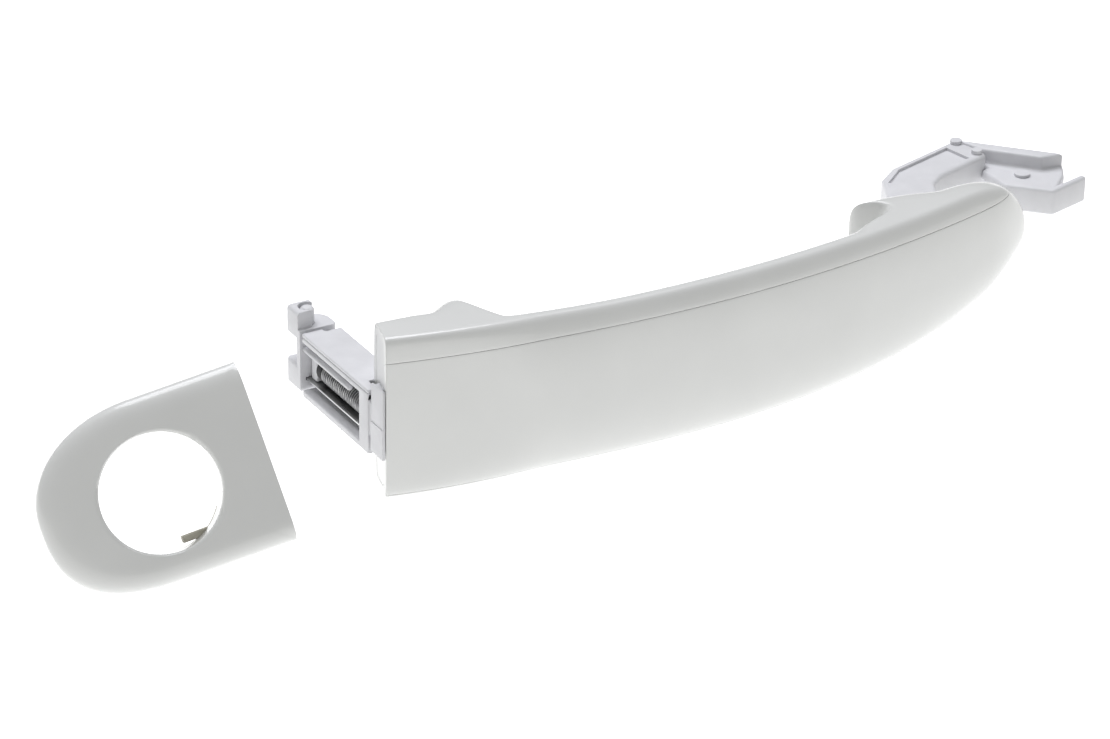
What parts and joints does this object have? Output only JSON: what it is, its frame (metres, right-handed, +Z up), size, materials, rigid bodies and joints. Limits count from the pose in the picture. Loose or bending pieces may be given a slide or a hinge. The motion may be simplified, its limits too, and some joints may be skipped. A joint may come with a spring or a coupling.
{
  "type": "car door handle",
  "caption": "Painted strap door handle with a sprung rear arm, a pivoting front hook arm and a separate cover with a round hole for the lock cylinder.",
  "frame": {"origin": "on the pivot pin's axis, at the shoulder where the pin's bare lower end starts", "axes": "+X along the handle from the lock end towards the nose and past it, +Y into the door, +Z up along the pivot pin"},
  "size_m": [0.2853, 0.0777, 0.0484],
  "materials": {
    "gloss_white": "gloss white paint on moulded plastic",
    "satin_white": "thin satin white paint on die-cast metal",
    "core_plastic": "matte glass-filled black plastic",
    "zinc_steel": "zinc-plated steel",
    "spring_steel": "dark oiled spring wire",
    "bare_plastic": "bare beige moulded plastic"
  },
  "bodies": {
    "door_pivot": {"pivot_pin": "satin_white", "pin_ring": "zinc_steel"},
    "handle": {"outer_shell": "gloss_white", "inner_shell": "gloss_white", "grip_core": "core_plastic", "end_plate": "gloss_white", "shell_screws": "zinc_steel", "arm_flange": "satin_white", "flange_screws": "zinc_steel", "rear_arm": "satin_white", "arm_cover": "satin_white", "spring_seat": "core_plastic", "front_link": "satin_white", "hook_channel": "satin_white", "link_pegs": "satin_white", "link_screws": "zinc_steel", "return_spring": "spring_steel"},
    "fork": {"fork_head": "satin_white", "guide_rod": "satin_white", "catch_post": "satin_white", "spring_plate": "zinc_steel"},
    "lock_cover": {"lock_cap": "gloss_white", "cap_clip": "bare_plastic"}
  },
  "joints": [
    {"name": "handle_pull", "type": "hinge", "parent": "door_pivot", "child": "handle", "pos_m": [0, 0, 0], "axis": [0, 0, 1], "range_deg": [0, 8]},
    {"name": "fork_slide", "type": "slide", "parent": "handle", "child": "fork", "axis": [0, 1, 0], "range_m": [0, 0.004], "stiffness_N_per_m": 900, "springref_m": -0.003, "deforming": ["return_spring"]},
    {"name": "cover_pull_off", "type": "slide", "parent": "door_pivot", "child": "lock_cover", "axis": [-0.2553, -0.8597, 0.4424], "range_m": [0, 0.02]}
  ]
}
